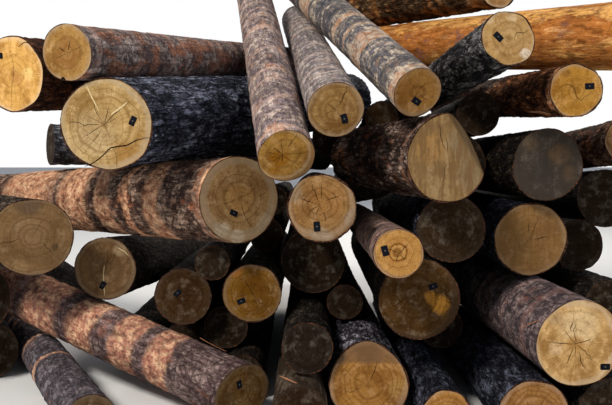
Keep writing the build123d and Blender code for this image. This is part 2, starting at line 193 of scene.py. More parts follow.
LOOKS = dict(
    bright_edge=Look(
        "plated", ((30, 18, 12), (88, 50, 31), (132, 82, 56), (160, 90, 50)), (208, 160, 88), 0.6,
        skew=0.09, rings=0.7, lobes=0.006,
        spots=((0.02, -0.02, 0.05, (170, 120, 70), 0.6), (0.1, 0, 0.04, (248, 214, 140), 0.6)),
        marks=(
            ("crack", 0.003, ((0.05, 0.14), (0.1, 0.16), (0.15, 0.14))),
            ("crack", 0.0018, ((-0.03, -0.18), (-0.01, -0.06), (0.01, 0.02), (0, 0.12))),
        ),
    ),
    notched_top=Look(
        "flaky", ((48, 38, 38), (126, 108, 108), (206, 186, 176), (196, 128, 94)), (160, 122, 68), 2.3,
        warmth=0.75, bands=0.5, skew=0.15, rings=0.8,
        spots=((0, 0, 0.085, (134, 92, 48), 0.75), (0, 0, 0.03, (170, 130, 80), 0.5)),
        cracks=((15, 0, 0.7), (200, 0.1, 0.5), (60, 0.1, 0.4), (150, 0.1, 0.35)),
        marks=(("hole", 0.01, ((-0.05, -0.145), (-0.035, -0.125), (-0.02, -0.14))),),
    ),
    bark_seam=Look(
        "fissured", ((15, 15, 21), (92, 96, 114), (168, 174, 196), (104, 90, 88)), (172, 142, 92), 1.9,
        warmth=0.12, lobes=0.007, skew=0.33, pith=(-0.01, 0),
        spots=(
            (0.1, -0.165, 0.085, (146, 104, 50), 0.75), (0.19, -0.09, 0.06, (150, 110, 58), 0.6),
            (-0.06, -0.09, 0.07, (160, 136, 96), 0.4), (-0.02, 0.02, 0.05, (150, 108, 60), 0.45),
            (-0.08, -0.05, 0.14, (190, 168, 128), 0.4),
        ),
        cracks=(
            (205, 0, 0.55), (180, 0.1, 0.75), (232, 0.1, 0.6), (40, 0, 0.5), (70, 0.05, 0.35),
            (25, 0.05, 0.3), (150, 0, 0.35), (290, 0, 0.3), (120, 0.1, 0.5),
        ),
        marks=(
            ("hole", 0.0055, (
                (-0.135, -0.215), (-0.09, -0.2), (-0.03, -0.16), (0.01, -0.125), (0.04, -0.118),
                (0.1, -0.11), (0.16, -0.085), (0.22, -0.075),
            )),
            ("crack", 0.0018, ((0.03, -0.13), (0.04, -0.18), (0.035, -0.235))),
            ("pale", 0.006, ((-0.088, 0.215), (-0.06, 0.14), (-0.03, 0.07))),
            ("pale", 0.009, ((0.03, 0.05), (0.08, 0.08), (0.12, 0.11))),
        ),
    ),
    star_cracks=Look(
        "flaky", ((58, 44, 40), (156, 138, 142), (228, 204, 190), (214, 160, 128)), (164, 122, 58), 2.8,
        warmth=0.55, bands=0.75, pith=(-0.02, 0.01), rings=0.6,
        spots=((-0.035, -0.015, 0.055, (146, 92, 14), 0.85), (-0.06, -0.08, 0.03, (158, 104, 20), 0.5)),
        cracks=STAR + ((60, 0.3, 0.9), (0, 0.2, 0.9), (196, 0.1, 0.4), (150, 0.1, 0.4), (240, 0.1, 0.4)),
    ),
    wrinkled_bark=Look(
        "flaky", ((58, 48, 47), (160, 148, 150), (226, 210, 200), (208, 160, 130)), (142, 108, 62), 2.6,
        warmth=0.25, bands=0.7, rings=0.8,
        cracks=((150, 0, 0.4), (200, 0.1, 0.45), (310, 0.1, 0.35), (60, 0.2, 0.9)),
    ),
    leaning_right=Look(
        "flaky", ((44, 41, 46), (128, 124, 130), (222, 202, 180), (208, 146, 98)), (142, 102, 50), 2.8,
        warmth=0.3, bands=1.0, rings=1.2, spots=((-0.03, 0.02, 0.06, (128, 86, 40), 0.5),),
        cracks=((60, 0.1, 0.45), (130, 0.1, 0.5), (250, 0, 0.4), (10, 0.3, 0.5), (320, 0.1, 0.6)),
    ),
    lobed_top=Look(
        "weathered", ((15, 13, 14), (84, 82, 86), (166, 162, 160), (112, 86, 68)), (172, 136, 86), 1.2,
        lobes=0.012, rings=0.8,
        spots=(
            (0.085, -0.07, 0.03, (214, 198, 178), 0.85), (-0.09, 0.09, 0.025, (200, 170, 130), 0.7),
            (0.02, 0.1, 0.025, (205, 180, 140), 0.6), (-0.06, -0.11, 0.02, (66, 54, 48), 0.9),
            (0, 0.02, 0.05, (192, 158, 108), 0.5), (-0.12, -0.04, 0.02, (128, 84, 44), 0.6),
        ),
        marks=(("crack", 0.002, ((0.03, -0.01), (0.045, 0.03), (0.08, 0.03), (0.105, 0.045))),),
    ),
    crown_back=Look(
        "plated", ((36, 24, 17), (96, 68, 46), (176, 138, 98), (206, 122, 52)), (200, 160, 110), 1.6,
        warmth=0.5, bands=0.8,
    ),
    debarked_top=Look(
        "peeled", ((92, 46, 22), (196, 122, 58), (246, 184, 104), (140, 98, 84)), (180, 120, 60), 2.4,
        warmth=0.45,
    ),
    knot_ring=Look(
        "plated", ((34, 18, 12), (112, 66, 42), (186, 124, 84), (224, 132, 80)), (170, 122, 50), 0.9,
        warmth=0.45, sunny=((0.03, 0.09),),
        spots=((-0.055, 0.095, 0.028, (132, 90, 40), 0.8), (0.05, -0.02, 0.05, (186, 142, 72), 0.4)),
        marks=(
            ("crack", 0.0022, (
                (-0.09, 0.01), (-0.05, 0.03), (-0.01, 0.015), (0.005, -0.03), (0.03, -0.05),
                (0.05, -0.03), (0.09, -0.01),
            )),
        ),
    ),
    # A log inside a gap: its dark face and bark are painted shade
    gap_small=Look("plated", DEEPER_SHADE, (66, 46, 28)),
    crooked_bolt=Look(
        "plated", ((28, 18, 15), (112, 86, 74), (204, 176, 160), (206, 118, 66)), (138, 108, 66), 1.25,
        warmth=0.5, bands=0.4, rings=0, sap=0, lobes=0.008, streaks=1.0, facet=(-49, -38, -0.172),
        spots=(
            (-0.1, 0.05, 0.09, (156, 108, 50), 0.7), (0.02, -0.04, 0.035, (96, 58, 26), 0.9),
            (-0.03, -0.16, 0.08, (164, 136, 96), 0.5), (0.15, -0.08, 0.11, (104, 90, 70), 0.75),
            (0.08, 0.08, 0.09, (108, 96, 78), 0.7),
        ),
        cracks=((250, 0.1, 0.6), (110, 0.2, 0.8), (95, 0.1, 0.5)),
    ),
    black_face=Look(
        "weathered", ((10, 8, 8), (48, 39, 34), (98, 82, 66), (104, 70, 44)), (40, 30, 25), 0.6,
        rings=0.4, sap=0, lobes=0.012, streaks=0.4,
        spots=(
            (0.07, 0.06, 0.07, (92, 64, 34), 0.7), (-0.1, 0.12, 0.05, (84, 62, 36), 0.6),
            (-0.03, -0.02, 0.07, (20, 18, 20), 0.8), (0.12, -0.05, 0.05, (84, 60, 36), 0.6),
        ),
    ),
    crossing_upper=Look(
        "ringed", ((34, 21, 19), (100, 76, 68), (196, 164, 142), (206, 128, 84)), (146, 114, 74), 2.7,
        warmth=0.4, bands=0.5, sap=0.24, pith=(0, 0.01),
        sunny=((0.02, 0.1), (0.5, 0.2), (0.78, 0.08), (1.0, 0.18), (1.35, 0.34), (1.95, 0.7)),
        spots=(
            (-0.12, -0.17, 0.06, (198, 182, 156), 0.7), (-0.02, -0.21, 0.05, (205, 190, 164), 0.6),
            (0.16, -0.14, 0.06, (176, 160, 132), 0.5), (0, 0, 0.11, (164, 120, 66), 0.5),
        ),
        cracks=(
            (128, 0.15, 0.55), (100, 0.25, 0.6), (150, 0.35, 0.6), (22, 0, 0.5), (285, 0.1, 0.75),
            (195, 0.1, 0.45), (60, 0.45, 0.75), (330, 0.1, 0.4),
        ),
    ),
    blue_sapwood=Look(
        "plated", DEEPER_SHADE, (140, 104, 62), 0.5, sap=0.2, pith=(-0.01, 0.02),
        spots=(
            (0, -0.16, 0.07, (150, 142, 124), 0.7), (0.15, -0.05, 0.05, (146, 138, 120), 0.6),
            (-0.14, 0.08, 0.05, (140, 130, 110), 0.5), (0.02, 0.03, 0.09, (150, 104, 54), 0.5),
        ),
        cracks=(
            (120, 0.1, 0.6), (80, 0.15, 0.55), (30, 0.2, 0.6), (165, 0.2, 0.6), (250, 0.1, 0.3),
            (290, 0.2, 0.5), (210, 0.1, 0.4),
        ),
    ),
    ridged_back=Look(
        "fissured", ((34, 34, 40), (112, 112, 120), (172, 172, 180), (120, 100, 90)), (60, 52, 46), 0.9,
    ),
    weathered_left=Look(
        "weathered", ((26, 20, 18), (78, 64, 56), (120, 104, 90), (110, 76, 52)), (122, 92, 56), 0.6,
        rings=1.3, lobes=0.01, sap=0.1, streaks=0.2,
        spots=(
            (0.1, -0.12, 0.09, (92, 68, 40), 0.7), (-0.02, 0.2, 0.08, (62, 54, 50), 0.8),
            (-0.06, -0.17, 0.05, (150, 122, 84), 0.6), (0.12, -0.06, 0.022, (24, 18, 14), 0.9),
            (0, 0.03, 0.1, (146, 118, 82), 0.5),
        ),
        cracks=((185, 0.3, 0.9), (320, 0.2, 0.6), (60, 0.1, 0.5)),
    ),
    # Face and bark darkened as painted shade, from the logs above
    streaked_left=Look(
        "weathered", DEEPER_SHADE, (96, 70, 40), 0.4, streaks=0.15,
        spots=((0.1, 0.12, 0.05, (176, 152, 120), 0.5), (0, -0.05, 0.03, (160, 130, 90), 0.5)),
        cracks=((80, 0.1, 0.6), (65, 0.2, 0.5), (40, 0.2, 0.6), (250, 0.1, 0.4)),
        marks=(
            ("pale", 0.005, ((-0.005, 0.02), (-0.01, -0.05), (0, -0.17))),
            ("pale", 0.004, ((0.08, 0.13), (0.12, 0.11), (0.15, 0.08))),
        ),
    ),
    # Dark face and bark: painted shade on a log set back under the logs above
    second_row_left=Look(
        face=(62, 42, 22), seen=0.4,
        marks=(
            ("crack", 0.0022, ((0, 0.03), (0.05, 0.035), (0.12, 0.03))),
            ("crack", 0.0022, ((0, 0.005), (0.06, 0.005), (0.14, 0.01))),
            ("crack", 0.0022, ((0, -0.02), (0.06, -0.03), (0.12, -0.025))),
        ),
    ),
    cracked_ochre=Look(
        face=(112, 78, 28), seen=0.4, rings=0.8,
        spots=((-0.01, 0.04, 0.08, (92, 58, 10), 0.8), (-0.1, 0.14, 0.05, (160, 92, 40), 0.5)),
        cracks=(
            (118, 0, 0.5), (100, 0.05, 0.45), (300, 0, 0.6), (312, 0.1, 0.65), (75, 0.1, 0.4),
            (200, 0.2, 0.4),
        ),
    ),
    shaded_small=Look(face=(38, 28, 22)),
    crossing_lower=Look(
        "ringed", ((44, 32, 31), (122, 98, 97), (172, 146, 140), (204, 122, 84)), (106, 78, 42), 3.0,
        warmth=0.28, bands=0.25, sunny=((0.53, 0.2), (0.82, 0.2), (1.2, 0.3), (1.64, 0.4), (2.2, 0.6)),
        spots=((-0.11, -0.02, 0.06, (72, 52, 30), 0.7), (0.05, -0.05, 0.07, (132, 100, 60), 0.5)),
        facet=(60, 0, -0.255),
        marks=(
            ("crack", 0.002, ((0.02, 0.05), (0.03, 0), (0.07, -0.06), (0.1, -0.04))),
            ("crack", 0.002, ((-0.06, 0), (-0.05, -0.06), (-0.06, -0.12))),
        ),
    ),
    ground_left=Look(
        "ringed", ((44, 39, 42), (100, 91, 98), (140, 130, 136), (186, 118, 84)), (96, 74, 50), 2.9,
        sunny=((0.98, 0.06), (1.5, 0.05), (2.15, 0.06), (2.4, 0.08), (2.65, 0.1)),
    ),
    # Dark face and bark: painted shade on a log low in the pile
    ground_peeled=Look(
        "peeled", ((26, 20, 16), (66, 53, 43), (98, 84, 70), (150, 86, 52)), (50, 34, 20), 1.4,
        warmth=0.1,
    ),
    ground_stepped=Look(
        "fissured", ((17, 15, 19), (112, 106, 118), (208, 202, 216), (126, 92, 78)), (158, 112, 56), 1.5,
        lobes=0.01, facet=(0, -45, -0.12), rings=0.9,
        spots=(
            (0, 0.19, 0.09, (96, 70, 48), 0.7), (0.17, -0.02, 0.07, (176, 140, 84), 0.5),
            (-0.1, -0.1, 0.07, (178, 128, 62), 0.5),
        ),
        cracks=((100, 0, 0.5), (70, 0.1, 0.6), (150, 0.1, 0.4), (200, 0.2, 0.6), (20, 0.1, 0.4)),
    ),
    ground_small=Look("fissured", SKYLIT, (166, 118, 60), 0.8),
    ground_grey=Look("fissured", SKYLIT, (150, 106, 58), 1.3, cracks=((60, 0.1, 0.5), (120, 0.1, 0.4))),
    lower_right=Look(
        "flaky", ((32, 26, 29), (104, 90, 94), (184, 160, 156), (184, 112, 86)), (196, 156, 100), 1.5,
        warmth=0.35, bands=0.4, lobes=0.007, pith=(-0.02, 0), rings=0.5,
        spots=(
            (0, 0.09, 0.11, (226, 198, 152), 0.6), (-0.13, 0.14, 0.05, (160, 140, 112), 0.5),
            (-0.02, 0, 0.05, (164, 114, 50), 0.7), (-0.12, -0.02, 0.04, (222, 190, 146), 0.6),
        ),
        cracks=STAR + ((110, 0.3, 0.5), (244, 0.1, 0.5), (295, 0.2, 0.62)),
        marks=(("crack", 0.002, ((-0.02, 0.1), (-0.03, 0.06), (-0.01, 0))),),
    ),
    # A face in the shadow of the log in front: its dark face colour is painted shade, and its two bright
    # spots a painted patch of sunlight
    sunlit_corner=Look(
        face=(78, 54, 26), seen=0.4, sap=0.06, pith=(-0.03, 0.02),
        spots=((0.115, -0.03, 0.055, (190, 132, 52), 0.9), (0.06, 0.01, 0.04, (170, 116, 44), 0.7)),
        cracks=((215, 0.1, 0.6), (200, 0.1, 0.5), (60, 0.1, 0.4), (260, 0.2, 0.6), (100, 0.2, 0.5)),
    ),
    small_yellow=Look(
        "flaky", ((76, 56, 52), (140, 114, 106), (196, 168, 158), (196, 126, 92)), (176, 130, 70), 0.8,
        warmth=0.35, bands=0.4, rings=2.0, sap=0.1,
        spots=((0, 0, 0.062, (150, 98, 44), 0.6), (0, 0, 0.042, (184, 140, 80), 0.7)),
        cracks=((40, 0, 0.5), (150, 0, 0.4), (260, 0, 0.35), (320, 0.1, 0.4), (100, 0.2, 0.4)),
    ),
    ochre_right=Look(
        "fissured", SKYLIT, (124, 88, 40), 0.9, streaks=0.35,
        spots=((0.02, 0.09, 0.07, (112, 76, 30), 0.5), (0, -0.1, 0.08, (140, 104, 52), 0.4)),
        cracks=((70, 0, 0.6), (100, 0.2, 0.5), (10, 0.1, 0.5)),
    ),
    # Dark face and bark: painted shade on a log set back in the pile
    dim_right=Look(face=(40, 29, 20)),
    # A log inside the pile: its dark face is painted shade, its bark the blue of painted sky light
    inner_upper_middle=Look("weathered", SKYLIT, (52, 38, 24)),
    right_edge=Look(
        "plated", ((40, 26, 20), (116, 82, 62), (180, 138, 108), (206, 122, 72)), (130, 98, 62), 0.5,
        warmth=0.5,
    ),
)

TAGS = dict(
    bright_edge=(-0.081, 0.1, 0),
    bark_seam=(0.14, 0.012, -60),
    wrinkled_bark=(0.045, -0.045, 75),
    leaning_right=(0.003, -0.047, 30),
    lobed_top=(-0.05, 0.008, 45),
    knot_ring=(0.072, 0.022, -3),
    crossing_upper=(-0.04, -0.074, 25),
    blue_sapwood=(-0.026, -0.09, 85),
    small_yellow=(-0.063, 0.013, 75),
    sunlit_corner=(0.073, 0.073, -20),
    streaked_left=(-0.014, -0.106, -60),
    second_row_left=(-0.033, 0.021, -45),
    cracked_ochre=(-0.064, -0.046, -20),
    crossing_lower=(-0.027, 0.057, 70),
    lower_right=(0.136, -0.12, 0),
)

# Node, place along the log, turn round it, length, width, how far the end lifts, and twist
SHREDS = (
    ("knot_ring", 0.13, 236, 0.17, 0.022, 0.04, -0.35),
    ("ground_peeled", 0.05, 95, 0.1, 0.016, 0.045, 0.5),
    ("crossing_upper", 0.5, 250, 0.26, 0.014, 0.022, -0.25),
    ("lower_right", 0.04, 150, 0.15, 0.01, 0.02, 0.35),
    ("crossing_lower", 0.22, 60, 0.2, 0.014, 0.018, 0.3),
)


# Repeatable random fields

def scatter(cell, seed):
    """A random number from 0 to 1 for each cell of space, the same at every run."""
    key = (seed + 1) * 2654435761
    for axis, factor in enumerate((73856093, 19349663, 83492791)):
        key = cell[..., axis] * factor ^ key
    key = (key ^ key >> 13) * 1274126177
    key = (key ^ key >> 15) * 668265263
    return (key >> 8 & 0xFFFFFF) / 0xFFFFFF


def waves(points, seed):
    """Smooth random values between -1 and 1 in space, one wave to a unit."""
    cell = np.floor(points).astype(np.int64)
    part = points - cell
    part = part * part * (3 - 2 * part)
    total = 0.0
    for corner in np.ndindex(2, 2, 2):
        weight = np.prod(np.where(corner, part, 1 - part), axis=-1)
        total = total + weight * scatter(cell + np.array(corner), seed)
    return 2 * total - 1


def plates(points, seed):
    """How far a point lies from the border between irregular plates: 0 on the border."""
    cell = np.floor(points).astype(np.int64)
    near = np.full(points.shape[:-1], 9.0)
    second = near.copy()
    for offset in np.ndindex(3, 3, 3):
        other = cell + np.array(offset) - 1
        centre = other + np.stack([scatter(other, seed + k) for k in range(3)], axis=-1)
        distance = np.linalg.norm(centre - points, axis=-1)
        second = np.minimum(second, np.maximum(near, distance))
        near = np.minimum(near, distance)
    return second - near


def stack(*parts):
    """Vectors from their separate parts."""
    return np.stack(parts, axis=-1)


def ramp(value, low, high):
    """0 below low, 1 above high and smooth between."""
    part = np.clip((value - low) / (high - low), 0, 1)
    return part * part * (3 - 2 * part)


def in_box(points, margin):
    """Points moved into the CAD model's box, at least a margin from its sides."""
    return np.clip(points, np.array(cad_low) + margin, np.array(cad_high) - margin)


# Reading a log from its node

class Trunk:
    """Where a log lies, how thick it is and how its near end is cut."""

    def __init__(self, node, look):
        mesh = frame["nodes"][node].data
        mesh.calc_loop_triangles()
        points = np.empty(3 * len(mesh.vertices))
        mesh.vertices.foreach_get("co", points)
        points = points.reshape(-1, 3)
        corners = np.empty(3 * len(mesh.loop_triangles), dtype=np.int32)
        mesh.loop_triangles.foreach_get("vertices", corners)
        a, b, c = points[corners.reshape(-1, 3)].transpose(1, 0, 2)
        normals = np.cross(b - a, c - a)
        areas = np.linalg.norm(normals, axis=1)
        solid = areas > 1e-10
        a, b, c, normals, areas = a[solid], b[solid], c[solid], normals[solid], areas[solid]
        normals = normals / areas[:, None]
        centres = (a + b + c) / 3
        middle = (centres * areas[:, None]).sum(axis=0) / areas.sum()
        guess = np.linalg.svd(points - points.mean(axis=0), full_matrices=False)[2][0]
        guess = guess * np.sign(guess[1])
        caps = np.abs(normals @ guess) > 0.75
        behind = (centres - middle) @ guess > 0
        far, near = caps & behind, caps & ~behind
        self.along = self.mean(normals, areas, far)
        self.along = self.along / np.linalg.norm(self.along)
        self.side = np.cross(self.along, (0, 0, 1))
        self.side = self.side / np.linalg.norm(self.side)
        self.up = np.cross(self.side, self.along)
        cut = self.mean(normals, areas, near)
        end = self.mean(centres, areas, far)
        back = (end - self.mean(centres, areas, near)) @ cut / (self.along @ cut)
        self.start = end - self.along * back
        self.length = back
        self.slant = [-cut @ axis / (cut @ self.along) for axis in (self.side, self.up)]
        self.slant[0] += look.skew
        self.facet = look.facet
        local = (points - self.start) @ self.axes()
        distances = np.hypot(local[:, 1], local[:, 2])
        rim = distances > 0.6 * distances.max()
        self.taper = np.polyfit(local[rim, 0], distances[rim], 1)

    @staticmethod
    def mean(values, weights, chosen):
        return (values[chosen] * weights[chosen, None]).sum(axis=0) / weights[chosen].sum()

    def axes(self):
        return np.stack([self.along, self.side, self.up], axis=1)

    def radius(self, along):
        return np.polyval(self.taper, along)

    def near_end(self, across, up):
        """Where the saw cut of the near end lies along the log."""
        cut = across * self.slant[0] + up * self.slant[1]
        if self.facet:
            turn, lean, depth = self.facet
            slope = [math.tan(math.radians(angle)) for angle in (turn, lean)]
            cut = np.maximum(cut, depth - across * slope[0] - up * slope[1])
        return cut

    def inside(self, points):
        """Points on the log, moved by the few millimetres that keep them in the CAD model's box."""
        world = self.start + points @ self.axes().T
        world = in_box(world, BOX_MARGIN)
        return (world - self.start) @ self.axes()


# Making the meshes

def add_object(name, data):
    """A new object in the scene."""
    made = bpy.data.objects.new(name, data)
    bpy.context.scene.collection.objects.link(made)
    return made


def stations(length, seen, step):
    """Where the rings of a log's skin lie: close together at the front, wider apart at the back."""
    places = [0.0]
    while places[-1] < length - step:
        past = max(0.0, places[-1] - seen)
        places.append(places[-1] + min(COARSE, step + 0.12 * past))
    places[-1] = length
    return np.array(places)


def fissures(space, warp, bark, seed):
    """How deep in a fissure each point is: broken borders of plates, and long splits along the log."""
    cell = np.array([bark.plate[0], bark.plate[1], bark.plate[1]])
    border = plates((space + warp) / cell, seed)
    kept = ramp(waves(space * (9, 16, 16), seed + 21), -0.45, 0.25)
    crevice = (1 - ramp(border, 0.02, bark.fissure)) * kept
    if bark.depth > 0.005:
        split = waves((space + warp) / (3.2 * cell), seed + 22)
        split = split + 0.5 * waves((space + warp) / (1.3 * cell), seed + 23)
        crevice = np.maximum(crevice, 1 - ramp(np.abs(split), 0.02, 0.16))
    return crevice


def skin(trunk, look, bark, seed, step):
    """The log's bark as a grid of points, with how deep in a fissure and how bare each one is."""
    around = max(36, int(2 * math.pi * trunk.radius(0.0) / step / 1.15))
    places = stations(trunk.length, look.seen, step)
    angles = np.linspace(0, 2 * math.pi, around, endpoint=False)
    along, turn = np.meshgrid(places, angles, indexing="ij")
    radius = trunk.radius(along)
    y, z = radius * np.cos(turn), radius * np.sin(turn)
    space = stack(along, y, z)
    lobes = sum(np.cos(k * turn + seed * 1.7 * k + along * 0.8 * (k - 3.5)) / k for k in (2, 3, 5, 7))
    inward = look.lobes * (1 + lobes / 1.2) * 0.8
    inward += 0.003 * (1 + waves(space * (2.2, 5.0, 5.0) + seed, seed))
    warp = stack(*(waves(space * 9 + k * 5.3, seed + k) for k in range(3)))
    warp = warp * (0.05, 0.018, 0.018)
    crevice = fissures(space, warp, bark, seed)
    rough = waves(space * (30, 46, 46), seed + 7)
    relief = bark.depth * crevice + (bark.depth * 0.35 + 0.0006) * (1 + rough)
    if bark.wrinkle:
        fold = waves(space * (26, 5, 5) + warp * 60, seed + 9)
        relief += bark.wrinkle * (1 + fold) * 0.6
    spots = waves(space * (7, 12, 12), seed + 11) + 0.6 * waves(space * (19, 30, 30), seed + 12)
    bare = ramp(spots, 0.7, 0.76) * bark.bare
    relief += bark.thickness * 0.35 * bare
    relief *= 0.35 + 0.65 * np.clip(along / CALM_END, 0, 1)
    crevice = crevice * (1 - bare)
    scale = 1 - (inward + relief) / radius
    y, z = y * scale, z * scale
    start = trunk.near_end(y, z) * (1 - np.clip(along / CUT_BLEND, 0, 1))
    points = stack(along + start, y, z)
    return trunk.inside(points), crevice, bare


def cap(rim, trunk, bark, seed, near):
    """Rings of points from a log's rim to its middle: first the cut bark, then the sawn wood."""
    y, z = rim[:, 1], rim[:, 2]
    turn = np.arctan2(z, y)
    outer = np.hypot(y, z)
    smooth = sum(np.roll(outer, k) for k in range(-3, 4)) / 7
    thickness = bark.thickness * (0.75 + 0.3 * np.cos(3 * turn + seed) + 0.25 * np.cos(7 * turn + 2 * seed))
    wood = np.minimum(smooth - thickness, outer - 0.0012)
    layers = []
    shares = CAP_RINGS if near else CAP_RINGS[::3]
    for share in (None,) + shares + (0.0,):
        reach = outer if share is None else wood * share
        py, pz = reach * np.cos(turn), reach * np.sin(turn)
        flat = stack(py * 12, pz * 12, 0 * py + seed)
        deep = FACE_RECESS + 0.001 * (1 + waves(flat, seed)) * (0 if share is None else 1)
        if near:
            px = trunk.near_end(py, pz) + deep
        else:
            px = trunk.length - deep
        layers.append(stack(px, py, pz))
    layers[0] = rim
    return np.stack([trunk.inside(layer) for layer in layers])


def grid_faces(rings, around, first, flip):
    """Faces between rings of points that close on themselves."""
    i, j = np.meshgrid(np.arange(rings - 1), np.arange(around), indexing="ij")
    k = (j + 1) % around
    corners = [i * around + j, i * around + k, (i + 1) * around + k, (i + 1) * around + j]
    if flip:
        corners.reverse()
    return np.stack(corners, axis=-1).reshape(-1, 4) + first


def mesh_object(name, trunk, points, faces, slots, materials, attributes=()):
    """An object from points in a log's axes, which its materials read, and faces with their slots."""
    mesh = bpy.data.meshes.new(name)
    local = np.array(points, dtype=float)
    world = trunk.start + local @ trunk.axes().T if trunk else local
    mesh.from_pydata(world.tolist(), [], [tuple(f) for f in faces])
    mesh.attributes.new("place", "FLOAT_VECTOR", "POINT").data.foreach_set("vector", local.ravel())
    for material in materials:
        mesh.materials.append(material)
    mesh.polygons.foreach_set("material_index", slots)
    mesh.polygons.foreach_set("use_smooth", np.ones(len(faces), dtype=bool))
    for label, values in attributes:
        mesh.attributes.new(label, "FLOAT", "POINT").data.foreach_set("value", values)
    mesh.update()
    return add_object(name, mesh)


def smooth_line(corners, parts=7):
    """A smooth line through a few drawn points."""
    corners = np.array(corners, dtype=float)
    ends = np.concatenate([[2 * corners[0] - corners[1]], corners, [2 * corners[-1] - corners[-2]]])
    t = np.linspace(0, 1, parts, endpoint=False)[:, None]
    line = []
    for p, q, r, s in zip(ends, ends[1:], ends[2:], ends[3:]):
        curve = t ** 2 * (p - 2.5 * q + 2 * r - s / 2) + t ** 3 * (1.5 * (q - r) + (s - p) / 2)
        line.append(q + t * (r - p) / 2 + curve)
    return np.concatenate(line + [corners[-1:]])


def drawn_lines(trunk, look, seed):
    """The drying cracks and other drawn lines of a sawn end: kind, half width and points."""
    dice = np.random.default_rng(seed)
    size = trunk.radius(0.0)
    lines = []
    for angle, inner, outer in look.cracks:
        run = np.linspace(inner, outer, 15)
        bend = np.cumsum(dice.normal(0, 0.028, len(run)))
        turn = math.radians(angle) + bend - bend[0]
        line = look.pith + run[:, None] * size * np.stack([np.cos(turn), np.sin(turn)], axis=1)
        lines.append(("crack", 0.0005 + 0.001 * dice.random(), line))
    for kind, width, corners in look.marks:
        line = smooth_line(corners)
        line = line + dice.normal(0, 0.0009, line.shape)
        lines.append((kind, width / 2, line))
    return lines


def line_strips(trunk, look, seed):
    """Thin strips just in front of the near end's wood, along its drawn lines."""
    dice = np.random.default_rng(seed + 500)
    points, faces, slots = [], [], []
    for kind, width, line in drawn_lines(trunk, look, seed):
        ahead = np.gradient(line, axis=0)
        ahead = ahead / np.linalg.norm(ahead, axis=1)[:, None]
        side = np.stack([-ahead[:, 1], ahead[:, 0]], axis=1)
        taper = np.sin(np.linspace(0.2, math.pi - 0.05, len(line))) ** 0.5
        half = (width * taper * (1 + 0.3 * dice.random(len(line))))[:, None] * side
        first = len(points)
        for pair in zip(line - half, line + half):
            points += [(trunk.near_end(*edge) + STRIP_LIFT, *edge) for edge in pair]
        for k in range(first, len(points) - 2, 2):
            faces.append((k, k + 1, k + 3, k + 2))
            slots.append(LINE_KINDS.index(kind))
    return np.array(points), faces, slots


def shred(trunk, at, turn, length, width, lift, twist):
    """A strip of torn bark that curls off a log: points and faces of a closed ribbon."""
    steps = 14
    points, faces = [], []
    for t in np.linspace(0, 1, steps):
        middle = math.radians(turn) + twist * t
        height = trunk.radius(at + length * t) - 0.006 + lift * t * t
        half = width / 2 * (0.25 + 0.75 * math.sin(math.pi * (0.15 + 0.8 * t)))
        ring = [(-1, 0.0), (-0.5, 0.0012), (0.5, 0.0012), (1, 0.0), (0.5, -0.0012), (-0.5, -0.0012)]
        for across, thick in ring:
            angle = middle + across * half / height
            reach = height + thick - 0.12 * half * across ** 2
            along = at + length * t * (1 - 0.15 * t)
            points.append((along, reach * math.cos(angle), reach * math.sin(angle)))
    faces = grid_faces(steps, 6, 0, True).tolist()
    faces += [tuple(range(6)), tuple(range(6 * steps - 1, 6 * steps - 7, -1))]
    return points, faces


# Materials

